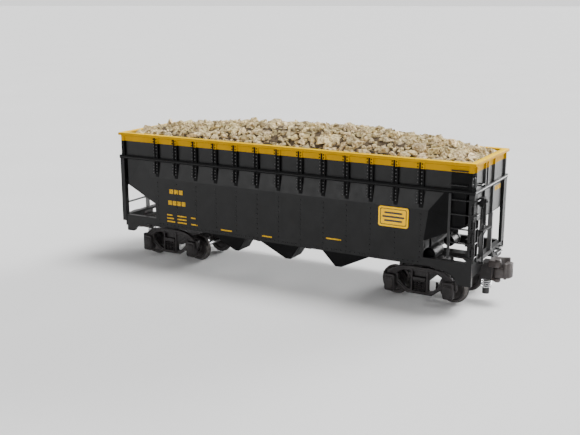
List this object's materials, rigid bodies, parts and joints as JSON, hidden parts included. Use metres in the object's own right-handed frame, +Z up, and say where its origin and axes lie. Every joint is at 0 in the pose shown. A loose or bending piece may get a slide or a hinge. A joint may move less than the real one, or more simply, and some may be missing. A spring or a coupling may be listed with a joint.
{
  "type": "model hopper car",
  "caption": "Scale model of an open-top offset-side railway hopper car with raised sides, lift-out stone load, swivelling trucks, rolling wheelsets and knuckle couplers.",
  "frame": {"origin": "on the surface that the wheel flanges stand on, midway between the coupler faces and between the sides", "axes": "+X along the car towards the hand-brake end, +Y across towards the side away from the hand-brake end's ladder, +Z up"},
  "size_m": [0.23, 0.052, 0.082],
  "materials": {
    "black_body": "satin painted black, moulded rivets",
    "black_wire": "satin black wire and ladder stock",
    "black_fitting": "satin black moulded fittings",
    "yellow_band": "satin yellow paint",
    "placard_yellow": "printed yellow plate",
    "stone": "rough moulded stone heap",
    "truck_casting": "matt dark grey-brown die casting",
    "plunger_black": "matt black",
    "spring_wire": "bright spring wire",
    "wheel_metal": "blackened metal with a bright tread",
    "axle_steel": "plain steel",
    "screw_steel": "plain steel"
  },
  "bodies": {
    "car_body": {"air_reservoir": "black_fitting", "belt_rail": "black_body", "bin_floor": "black_body", "body_bolsters": "black_body", "brake_cylinder": "black_fitting", "brake_housing": "black_fitting", "brake_platform": "black_fitting", "brake_rod": "black_wire", "centre_sill": "black_body", "control_valve": "black_fitting", "corner_posts": "black_body", "cross_ridges": "black_body", "end_ladders": "black_wire", "end_posts": "black_body", "end_sheet_a": "black_body", "end_sheet_b": "black_body", "end_sill_a": "black_body", "end_sill_b": "black_body", "grab_irons": "black_wire", "hopper_bay_1": "black_body", "hopper_bay_2": "black_body", "hopper_bay_3": "black_body", "placards": "placard_yellow", "side_ladders": "black_wire", "side_posts": "black_body", "side_sheet_far": "black_body", "side_sheet_near": "black_body", "side_sills": "black_body", "slope_sheet_a": "black_body", "slope_sheet_b": "black_body", "top_rim": "yellow_band", "truck_screw_a": "screw_steel", "truck_screw_b": "screw_steel", "uncoupling_levers": "black_wire"},
    "load": {"stone_load": "stone"},
    "brake_lever": {"brake_lever": "black_fitting"},
    "truck_a": {"side_frames_a": "truck_casting", "truck_bolster_a": "truck_casting", "coupler_arm_a": "truck_casting", "coupler_head_a": "truck_casting", "trip_spring_a": "spring_wire"},
    "wheelset_a1": {"axle_a1": "axle_steel", "wheels_a1": "wheel_metal"},
    "wheelset_a2": {"axle_a2": "axle_steel", "wheels_a2": "wheel_metal"},
    "knuckle_a": {"knuckle_a": "truck_casting"},
    "trip_plunger_a": {"trip_plunger_a": "plunger_black"},
    "truck_b": {"side_frames_b": "truck_casting", "truck_bolster_b": "truck_casting", "coupler_arm_b": "truck_casting", "coupler_head_b": "truck_casting", "trip_spring_b": "spring_wire"},
    "wheelset_b1": {"axle_b1": "axle_steel", "wheels_b1": "wheel_metal"},
    "wheelset_b2": {"axle_b2": "axle_steel", "wheels_b2": "wheel_metal"},
    "knuckle_b": {"knuckle_b": "truck_casting"},
    "trip_plunger_b": {"trip_plunger_b": "plunger_black"}
  },
  "joints": [
    {"name": "load_lift", "type": "slide", "parent": "car_body", "child": "load", "axis": [0, 0, 1], "range_m": [0, 0.05]},
    {"name": "brake_lever_swing", "type": "hinge", "parent": "car_body", "child": "brake_lever", "pos_m": [0.10545, -0.0167, 0.0532], "axis": [1, 0, 0], "range_deg": [-20, 100]},
    {"name": "truck_a_swivel", "type": "hinge", "parent": "car_body", "child": "truck_a", "pos_m": [0.075, 0, 0.0195], "axis": [0, 0, 1], "range_deg": [-10, 10]},
    {"name": "wheelset_a1_roll", "type": "hinge", "parent": "truck_a", "child": "wheelset_a1", "pos_m": [0.09, 0, 0.00755], "axis": [0, 1, 0], "continuous": true},
    {"name": "wheelset_a2_roll", "type": "hinge", "parent": "truck_a", "child": "wheelset_a2", "pos_m": [0.06, 0, 0.00755], "axis": [0, 1, 0], "continuous": true},
    {"name": "knuckle_a_swing", "type": "hinge", "parent": "truck_a", "child": "knuckle_a", "pos_m": [0.1088, -0.0034, 0.01605], "axis": [0, 0, -1], "range_deg": [0, 35]},
    {"name": "trip_plunger_a_slide", "type": "slide", "parent": "truck_a", "child": "trip_plunger_a", "axis": [0, 0, 1], "range_m": [0, 0.0018], "stiffness_N_per_m": 20, "springref_m": -0.002, "deforming": ["trip_spring_a"]},
    {"name": "truck_b_swivel", "type": "hinge", "parent": "car_body", "child": "truck_b", "pos_m": [-0.075, 0, 0.0195], "axis": [0, 0, 1], "range_deg": [-10, 10]},
    {"name": "wheelset_b1_roll", "type": "hinge", "parent": "truck_b", "child": "wheelset_b1", "pos_m": [-0.09, 0, 0.00755], "axis": [0, 1, 0], "continuous": true},
    {"name": "wheelset_b2_roll", "type": "hinge", "parent": "truck_b", "child": "wheelset_b2", "pos_m": [-0.06, 0, 0.00755], "axis": [0, 1, 0], "continuous": true},
    {"name": "knuckle_b_swing", "type": "hinge", "parent": "truck_b", "child": "knuckle_b", "pos_m": [-0.1088, 0.0034, 0.01605], "axis": [0, 0, -1], "range_deg": [0, 35]},
    {"name": "trip_plunger_b_slide", "type": "slide", "parent": "truck_b", "child": "trip_plunger_b", "axis": [0, 0, 1], "range_m": [0, 0.0018], "stiffness_N_per_m": 20, "springref_m": -0.002, "deforming": ["trip_spring_b"]}
  ]
}
